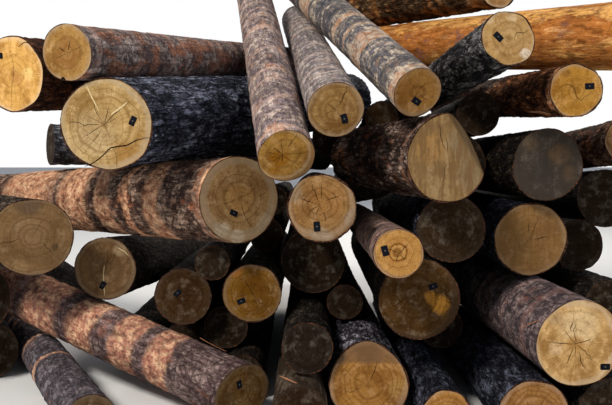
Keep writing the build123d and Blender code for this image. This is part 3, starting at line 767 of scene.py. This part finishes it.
class Graph:
    """The shader nodes of a material or a sky, made and joined in one call each."""

    def __init__(self, owner):
        owner.use_nodes = True
        self.owner = owner
        self.tree = owner.node_tree
        self.tree.nodes.clear()

    def node(self, kind, out=0, settings=(), **inputs):
        made = self.tree.nodes.new("ShaderNode" + kind)
        for key, value in dict(settings).items():
            setattr(made, key, value)
        for key, value in inputs.items():
            socket = made.inputs[int(key[1:])] if key[0] == "i" and key[1:].isdigit() else made.inputs[key]
            if isinstance(value, bpy.types.NodeSocket):
                self.tree.links.new(value, socket)
            else:
                socket.default_value = value
        return made.outputs[out] if made.outputs else None

    def attribute(self, label, out="Fac"):
        return self.node("Attribute", out, {"attribute_name": label})

    def moved(self, scale, seed):
        shift = tuple((seed * k) % 37.0 for k in (1.31, 2.77, 4.19))
        return self.node("Mapping", i0=self.place, i1=shift, i3=scale)

    def noise(self, vector, scale, detail=3.0, rough=0.55, out=0):
        return self.node("TexNoise", out, Vector=vector, Scale=scale, Detail=detail, Roughness=rough)

    def edges(self, vector, scale):
        return self.node("TexVoronoi", 0, {"feature": "DISTANCE_TO_EDGE"}, Vector=vector, Scale=scale)

    def math(self, operation, a, b=0.0, c=0.0):
        return self.node("Math", 0, {"operation": operation}, i0=a, i1=b, i2=c)

    def plus(self, a, share, b):
        """A share of a, plus b."""
        return self.math("MULTIPLY_ADD", a, share, b)

    def vector(self, operation, a, out=0, **inputs):
        return self.node("VectorMath", out, {"operation": operation}, i0=a, **inputs)

    def step(self, value, low, high, to_low=0.0, to_high=1.0):
        smooth = {"interpolation_type": "SMOOTHSTEP"}
        return self.node("MapRange", 0, smooth, i0=value, i1=low, i2=high, i3=to_low, i4=to_high)

    def mix(self, share, a, b):
        return self.node("Mix", 2, {"data_type": "RGBA"}, i0=share, i6=a, i7=b)

    def layers(self, surface, *rows):
        """A colour with others laid over it: each row is a colour and what step takes."""
        for tone, *values in rows:
            surface = self.mix(self.step(*values), surface, tone)
        return surface

    def split(self, vector, axis):
        return self.node("SeparateXYZ", axis, Vector=vector)

    def shaken(self, vector, seed_vector, scale, reach):
        """A vector moved about by smooth noise, so that borders drawn with it wander."""
        push = self.vector("SUBTRACT", self.noise(seed_vector, scale, out=1), i1=(0.5, 0.5, 0.5))
        return self.vector("ADD", vector, i1=self.vector("SCALE", push, Scale=reach))

    def finish(self, base, roughness, height, distance, specular=0.3):
        bump = self.node("Bump", Height=height, Distance=distance, Strength=1.0)
        shader = self.node("BsdfPrincipled", i0=base, Roughness=roughness, Normal=bump)
        shader.node.inputs["Specular IOR Level"].default_value = specular
        self.node("OutputMaterial", Surface=shader)
        return self.owner


def new_material(name):
    """The graph of a new material, with the attribute that its patterns follow."""
    g = Graph(bpy.data.materials.new(name))
    g.place = g.attribute("place", "Vector")
    return g


def bark_bands(g, surface, look, even, mottle, base, pale, warm, seed):
    """Pale and dark rings across the bark, partly its own colour and partly painted sunlight and shade,
    and painted bands of sunlight at named places.
    """
    x = g.split(g.place, 0)
    wobble = (0.16, 0.05)
    x = g.plus(g.noise(even, 3.0, 2.0), wobble[0], x)
    x = g.plus(mottle, wobble[1], x)
    if look.bands:
        lines = g.noise(g.node("CombineXYZ", X=x, Y=float(seed)), 8.5, 1.5)
        strength = 0.6 * look.bands
        # Pale rings partly painted sunlight, dark rings partly painted shade, each over the bark's own
        # banding
        bright = g.layers(warm, (pale, mottle, 0.38, 0.62))
        surface = g.layers(
            surface,
            (shade(base, 0.34), lines, 0.4, 0.48, strength, 0.0),
            (bright, lines, 0.52, 0.6, 0.0, strength),
        )
    # Painted bands of sunlight, bright where sun falls on the bark between shadows
    for at, wide in look.sunny:
        distance = g.math("ABSOLUTE", g.math("SUBTRACT", x, at + sum(wobble) / 2))
        share = g.step(distance, 0.3 * wide, 0.56 * wide, 1.0, 0.0)
        share = g.math("MULTIPLY", share, g.step(mottle, 0.34, 0.48, 0.25, 0.86))
        sunlight_tone = blend(pale, colour(255, 206, 162), 0.85)
        painted_sunlight = g.mix(g.step(mottle, 0.44, 0.62), blend(warm, pale, 0.3), sunlight_tone)
        surface = g.mix(share, surface, painted_sunlight)
    return surface


def bark_material(name, bark, look, seed):
    """Bark with fissures partly darkened as painted shade, scales of differing tone, warm inner bark,
    and rings across it that are partly painted sunlight and shade.
    """
    g = new_material(name)
    dark, base, pale, warm = [colour(*rgb) for rgb in look.colours]
    crevice, bare = g.attribute("crevice"), g.attribute("bare")
    even = g.moved((1.0, 1.0, 1.0), seed + 3)
    long = g.moved((1 / bark.stretch, 1.0, 1.0), seed)
    warped = g.shaken(long, even, 11.0, 0.07)
    warped = g.shaken(warped, even, 45.0, 0.016)
    tone = g.split(g.node("TexVoronoi", out="Color", Vector=warped, Scale=bark.flakes), 0)
    borders = g.edges(warped, bark.flakes)
    chips = g.edges(warped, 2.6 * bark.flakes)
    broad = g.noise(long, 4.0, 4.0, 0.6)
    mottle = g.noise(even, 24.0, 5.0, 0.7)
    fine = g.noise(even, 120.0, 4.0, 0.7)
    streak = g.noise(g.moved((0.1, 1.0, 1.0), seed + 5), 55.0, 4.0, 0.65)
    split = g.noise(g.moved((0.17, 1.0, 1.0), seed + 6), 24.0, 4.0, 0.62)
    split = g.math("ABSOLUTE", g.math("SUBTRACT", split, 0.5))
    light = g.plus(broad, 0.5, g.math("MULTIPLY", streak, 0.5))
    light = g.plus(tone, 0.3, light)
    grainy = g.noise(long, 34.0, 6.0, 0.75)
    patches = g.noise(g.moved((0.7, 1.0, 1.0), seed + 8), 8.0, 5.0, 0.66)
    limit = 0.72 - 0.3 * look.warmth
    surface = g.layers(
        base,
        (pale, light, 0.58, 0.74),
        (shade(base, 0.3), grainy, 0.38, 0.5, 0.8, 0.0),
        (blend(pale, colour(235, 226, 220), 0.15), grainy, 0.54, 0.64, 0.0, 0.6),
        (warm, patches, limit, limit + 0.08, 0.0, 0.8),
    )
    kept = g.step(g.noise(even, 9.0, 3.0), 0.36, 0.56, 0.15, bark.net)
    small = g.math("MULTIPLY", kept, g.step(chips, 0.0, 0.22, 0.75, 0.0))
    surface = g.mix(small, surface, blend(dark, base, 0.2))
    large = g.math("MULTIPLY", kept, g.step(borders, 0.02, 0.2, 1.0, 0.0))
    surface = g.mix(large, surface, dark)
    surface = g.layers(
        surface,
        (dark, split, 0.008, 0.055, bark.net, 0.0),
        (shade(base, 0.35), fine, 0.36, 0.54, 0.35, 0.0),
    )
    if look.bands or look.sunny:
        surface = bark_bands(g, surface, look, even, mottle, base, pale, warm, seed)
    inner = g.mix(g.step(streak, 0.35, 0.65), warm, blend(warm, pale, 0.6))
    surface = g.mix(g.math("MULTIPLY", bare, 0.85), surface, inner)
    # Fissures darkened, partly their own dark colour and partly painted shade in the hollows
    surface = g.mix(g.math("MULTIPLY", crevice, 0.82 * bark.net + 0.1), surface, dark)
    height = g.math("MULTIPLY", fine, 0.45)
    for value, wide, share in ((borders, 0.16, 0.7), (split, 0.07, 0.7), (chips, 0.2, 0.35)):
        height = g.plus(g.step(value, 0.0, wide), share * bark.net, height)
    height = g.plus(mottle, 0.7, height)
    return g.finish(surface, g.step(fine, 0.2, 0.8, 0.82, 0.97), height, 0.7 * bark.depth + 0.004, 0.05)


def rim_material():
    """Bark where the saw cut through it."""
    g = new_material("cut_bark")
    spots = g.noise(g.place, 70.0, 4.0)
    surface = g.layers(colour(34, 22, 17), (colour(86, 56, 40), spots, 0.4, 0.65))
    return g.finish(surface, 0.95, spots, 0.002, 0.04)


def facet_slope(trunk):
    """How a second cut's height above the main cut changes across and up the sawn end."""
    if not trunk.facet:
        return None
    slopes = [-math.tan(math.radians(angle)) for angle in trunk.facet[:2]]
    return (0.0, slopes[0] - trunk.slant[0], slopes[1] - trunk.slant[1])


def wood_material(name, look, radius, seed, slope=None):
    """A sawn end: growth rings round the pith, paler sapwood, stains, radial streaks and saw marks."""
    g = new_material(name)
    main = colour(*look.face)
    deep = tuple(v * k for v, k in zip(main, (0.4, 0.3, 0.18))) + (1.0,)
    pale = blend(shade(main, 1.35), colour(206, 196, 176), 0.14)
    flat = g.vector("MULTIPLY", g.place, i1=(0.0, 1.0, 1.0))
    shifted = g.vector("ADD", flat, i1=(seed * 0.73, seed * 1.1, 0.0))
    warped = g.shaken(flat, shifted, 9.0, 0.05)
    warped = g.shaken(warped, shifted, 45.0, 0.012)
    centred = g.vector("SUBTRACT", warped, i1=(0.0,) + look.pith)
    distance = g.vector("LENGTH", centred, out="Value")
    outward = g.vector("SCALE", g.vector("NORMALIZE", centred), Scale=7.0)
    radial = g.noise(g.vector("ADD", outward, i1=g.vector("SCALE", centred, Scale=2.0)), 3.0, 5.0, 0.75)
    along = g.node("CombineXYZ", X=distance, Y=float(seed))
    years = g.noise(along, 300.0, 2.0, 0.7)
    broad = g.noise(along, 46.0, 2.0, 0.5)
    stain = g.noise(shifted, 5.5, 4.0, 0.62)
    cloud = g.noise(shifted, 17.0, 5.0, 0.68)
    grain = g.noise(shifted, 260.0, 3.0, 0.7)
    surface = g.layers(
        main,
        (deep, stain, 0.42, 0.66, 0.0, 0.7),
        (pale, cloud, 0.48, 0.68, 0.0, 0.7),
    )
    for across, up, size, rgb, strength in look.spots:
        reach = g.vector("DISTANCE", warped, out="Value", i1=(0.0, across, up))
        surface = g.layers(surface, (colour(*rgb), reach, 0.55 * size, 1.15 * size, strength, 0.0))
    blotch = g.noise(g.vector("ADD", shifted, i1=(3.0, 5.0, 1.0)), 26.0, 6.0, 0.78)
    surface = g.layers(
        surface,
        (deep, blotch, 0.5, 0.64, 0.0, 0.5),
        (deep, broad, 0.47, 0.6, 0.0, 0.5 * look.rings),
        (deep, years, 0.5, 0.7, 0.0, 0.34 * look.rings),
        (deep, radial, 0.53, 0.62, 0.0, 0.6),
        (pale, radial, 0.3, 0.42, 0.3, 0.0),
    )
    if look.sap:
        edge = radius * (1 - look.sap)
        sapwood = blend(shade(main, 1.2), shade(colour(200, 194, 182), 1.7 * main[0]), 0.5)
        surface = g.layers(surface, (sapwood, distance, edge - 0.014, edge + 0.01, 0.0, 0.5))
    if slope:
        planes = g.vector("DOT_PRODUCT", warped, out="Value", i1=slope)
        planes = g.math("ADD", planes, look.facet[2])
        grey = blend(deep, colour(104, 96, 84), 0.4)
        surface = g.layers(surface, (grey, planes, -0.01, 0.006, 0.0, 0.7))
    if look.streaks:
        upright = g.vector("MULTIPLY", g.shaken(shifted, shifted, 14.0, 0.02), i1=(1.0, 1.0, 0.14))
        upright = g.noise(upright, 30.0, 7.0, 0.78)
        surface = g.layers(
            surface,
            (deep, upright, 0.48, 0.56, 0.0, 0.9 * look.streaks),
            (pale, upright, 0.34, 0.44, 0.6 * look.streaks, 0.0),
        )
        grain = g.plus(upright, 2.5 * look.streaks, grain)
    turn = math.radians((seed * 47) % 180)
    marks = g.node("Mapping", i0=flat, i2=(turn, 0.0, 0.0), i3=(1.0, 0.02, 1.0))
    marks = g.noise(marks, 190.0, 2.0, 0.6)
    surface = g.layers(
        surface,
        (deep, distance, radius * 0.93, radius * 0.99, 0.0, 0.55),
        (deep, distance, 0.0, 0.016, 0.55, 0.0),
        (deep, marks, 0.52, 0.75, 0.0, 0.18),
        (pale, grain, 0.55, 0.8, 0.0, 0.25),
    )
    height = g.plus(marks, 0.6, g.math("MULTIPLY", grain, 0.5))
    height = g.plus(radial, 0.8, height)
    return g.finish(surface, 0.9, height, 0.002, 0.05)


def plain_material(name, rgb, roughness, spread=0.2):
    """An even dull surface with a little wear."""
    g = new_material(name)
    wear = g.noise(g.place, 120.0, 4.0)
    tone = colour(*rgb)
    surface = g.mix(g.step(wear, 0.3, 0.7), shade(tone, 1 - spread), shade(tone, 1 + spread))
    return g.finish(surface, roughness, wear, 0.0004, 0.06)


# The logs

def tie(piece, slot):
    """Tie a piece to the frame."""
    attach(piece, "root")


def make_log(node, look, number, step):
    """Rebuild one log on its node."""
    trunk = Trunk(node, look)
    bark = BARKS[look.bark]
    points, crevice, bare = skin(trunk, look, bark, number, step)
    rings, around = crevice.shape
    near = cap(points[0], trunk, bark, number, True)
    far = cap(points[-1], trunk, bark, number + 1, False)
    everything = np.concatenate([points.reshape(-1, 3), near.reshape(-1, 3), far.reshape(-1, 3)])
    first_near = rings * around
    first_far = first_near + len(near) * around
    parts = [
        (grid_faces(rings, around, 0, True), 0),
        (grid_faces(2, around, first_near, False), 1),
        (grid_faces(len(near) - 1, around, first_near + around, False), 2),
        (grid_faces(2, around, first_far, True), 1),
        (grid_faces(len(far) - 1, around, first_far + around, True), 3),
    ]
    faces = np.concatenate([p[0] for p in parts]).tolist()
    slots = np.concatenate([np.full(len(p[0]), p[1], dtype=np.int32) for p in parts])
    flat = np.zeros((len(near) + len(far)) * around)
    attributes = [
        ("crevice", np.concatenate([crevice.ravel(), flat])),
        ("bare", np.concatenate([bare.ravel(), flat])),
    ]
    materials = [
        bark_material(f"bark_{node}", bark, look, number),
        RIM,
        wood_material(f"wood_{node}", look, trunk.radius(0.0), number, facet_slope(trunk)),
        BACK_WOODS[number % len(BACK_WOODS)],
    ]
    piece = mesh_object(f"skin_{node}", trunk, everything, faces, slots, materials, attributes)
    tie(piece, SLOTS[node])
    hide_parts(node)
    if look.cracks or look.marks:
        points, faces, slots = line_strips(trunk, look, number)
        strips = mesh_object(f"cracks_{node}", trunk, points, faces, slots, LINE_MATERIALS)
        tie(strips, SLOTS[node])
    return trunk


def make_shreds():
    """The strips of torn bark, one piece for each."""
    for number, (node, *numbers) in enumerate(SHREDS):
        points, faces = shred(trunks[node], *numbers)
        name = f"torn_bark_{number + 1}"
        strip = mesh_object(name, trunks[node], points, faces, [0] * len(faces), [TORN])
        tie(strip, SLOTS[node])


def rounded_plate(width, height, corner, thickness):
    """A thin plate with round corners and a bevelled front edge, in the Y and Z directions."""
    rings = []
    for depth, grow in ((0.0, 0.0), (-0.7 * thickness, 0.0), (-thickness, -0.0007)):
        ring = []
        for turn in np.radians(np.arange(0, 360, 15) + 7.5):
            c, s = math.cos(turn), math.sin(turn)
            y = math.copysign(width / 2 - corner, c) + (corner + grow) * c
            z = math.copysign(height / 2 - corner, s) + (corner + grow) * s
            ring.append((depth, y, z))
        rings.append(ring)
    return rings


def make_tags():
    """The plain plastic tags that are nailed to sawn ends, in place of the CAD tags."""
    points, faces, slots = [], [], []
    for node, (across, up, tilt) in TAGS.items():
        trunk = trunks[node]
        origin = np.array((float(trunk.near_end(across, up)), across, up))
        normal = np.array((1.0, -trunk.slant[0], -trunk.slant[1]))
        normal = normal / np.linalg.norm(normal)
        right = np.cross((0, 0, 1), -normal)
        right = right / np.linalg.norm(right)
        top = np.cross(-normal, right)
        turn = math.radians(tilt)
        ahead = right * math.cos(turn) + top * math.sin(turn)
        above = top * math.cos(turn) - right * math.sin(turn)
        for slot, size in enumerate((TAG_SIZE, NAIL_SIZE)):
            rings = rounded_plate(*size)
            around = len(rings[0])
            first = len(points)
            for ring in rings:
                for depth, y, z in ring:
                    local = origin + normal * (depth + TAG_LIFT) + ahead * y + above * z
                    points.append(trunk.start + trunk.axes() @ local)
            new = grid_faces(len(rings), around, first, False).tolist()
            last = first + len(rings) * around
            new += [tuple(range(first, first + around)), tuple(range(last - 1, last - around - 1, -1))]
            faces += new
            slots += [slot] * len(new)
    points = in_box(points, TAG_MARGIN)
    materials = [plain_material("tag", (13, 15, 21), 0.7), plain_material("nail", (84, 82, 80), 0.6)]
    piece = mesh_object("tags", None, points, faces, slots, materials)
    for polygon in piece.data.polygons:
        polygon.use_smooth = False
    tie(piece, "tag_plastic")
    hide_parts("end_tags")


RIM = rim_material()
BACK_FACES = ((168, 128, 76), (138, 104, 62), (184, 146, 94))
BACK_WOODS = []
for number, rgb in enumerate(BACK_FACES):
    BACK_WOODS.append(wood_material(f"back_wood_{number}", Look(face=rgb), 0.3, 70 + number))
TORN = plain_material("torn_bark", (150, 104, 78), 0.9, 0.5)
LINE_KINDS = ["crack", "hole", "pale"]
LINE_MATERIALS = [
    plain_material("crack", (34, 20, 11), 0.95),
    plain_material("hole", (14, 10, 8), 0.95),
    plain_material("torn_wood", (196, 172, 128), 0.85),
]
SLOTS = {part["node"]: part["material_slot"] for part in frame["record"]["subparts"]}
trunks = {}
for number, node in enumerate(sorted(frame["nodes"])):
    if node == "end_tags":
        continue
    # Logs without a look of their own take the default, whose dark colours are painted shade
    hidden = node not in LOOKS
    trunks[node] = make_log(node, LOOKS.get(node, Look()), number + 1, HIDDEN_STEP if hidden else FINE)
make_shreds()
make_tags()


# Floor, light and camera

FLOOR_REACH = 60.0
LAMP_AIM = (0.0, 0.0, 1.2)
LAMPS = (
    ("sun_side", (-4.5, -9.0, 8.5), 2.0, 1350.0, (1.0, 0.95, 0.87)),
    ("fill", (6.0, -9.0, 3.5), 6.0, 150.0, (0.92, 0.96, 1.0)),
    ("sun_behind", (3.5, 9.0, 8.0), 3.0, 700.0, (1.0, 0.93, 0.82)),
)
SKY_TINT = (0.8, 0.88, 1.0, 1.0)
SKY_STRENGTH = 0.31
LENS = 44.12
LENS_DOWN = 4.0
EYE_HEIGHT = 1.52
EYE_FROM_LOG = (-0.08, -3.7)


def make_floor():
    """A wide pale floor."""
    mesh = bpy.data.meshes.new("floor")
    corners = [(x * FLOOR_REACH, y * FLOOR_REACH, 0) for x, y in ((-1, -1), (1, -1), (1, 1), (-1, 1))]
    mesh.from_pydata(corners, [], [(0, 1, 2, 3)])
    g = Graph(bpy.data.materials.new("floor"))
    shader = g.node("BsdfPrincipled", i0=(0.8, 0.8, 0.8, 1.0), Roughness=0.9)
    g.node("OutputMaterial", Surface=shader)
    mesh.materials.append(g.owner)
    add_object("floor", mesh)


def make_lamp(name, place, size, power, tint):
    """A square soft lamp that points at the pile."""
    light = bpy.data.lights.new(name, "AREA")
    light.shape = "SQUARE"
    light.size = size
    light.energy = power
    light.color = tint
    lamp = add_object(name, light)
    lamp.location = place
    lamp.rotation_euler = (Vector(LAMP_AIM) - Vector(place)).to_track_quat("-Z", "Y").to_euler()


def make_world():
    """A pale sky that lights the pile softly and looks white to the camera."""
    world = bpy.data.worlds.new("sky")
    bpy.context.scene.world = world
    g = Graph(world)
    rays = g.node("LightPath").node.outputs
    seen = g.math("MAXIMUM", rays["Is Camera Ray"], rays["Is Glossy Ray"])
    seen = g.math("MAXIMUM", seen, rays["Is Transmission Ray"])
    soft = g.node("Background", Color=SKY_TINT, Strength=SKY_STRENGTH)
    white = g.node("Background", Color=(1.0, 1.0, 1.0, 1.0), Strength=1.0)
    g.node("OutputWorld", Surface=g.node("MixShader", i0=seen, i1=soft, i2=white))


def make_camera():
    """A camera at standing height, a little left of the middle, looking slightly down."""
    lens = bpy.data.cameras.new("camera")
    lens.lens = LENS
    lens.sensor_width = 36.0
    camera = add_object("camera", lens)
    front = trunks["blue_sapwood"].start
    camera.location = (front[0] + EYE_FROM_LOG[0], front[1] + EYE_FROM_LOG[1], EYE_HEIGHT)
    camera.rotation_euler = (math.radians(90 - LENS_DOWN), 0.0, 0.0)
    bpy.context.scene.camera = camera


make_floor()
for lamp in LAMPS:
    make_lamp(*lamp)
make_world()
make_camera()
bpy.context.scene.view_settings.view_transform = "Standard"
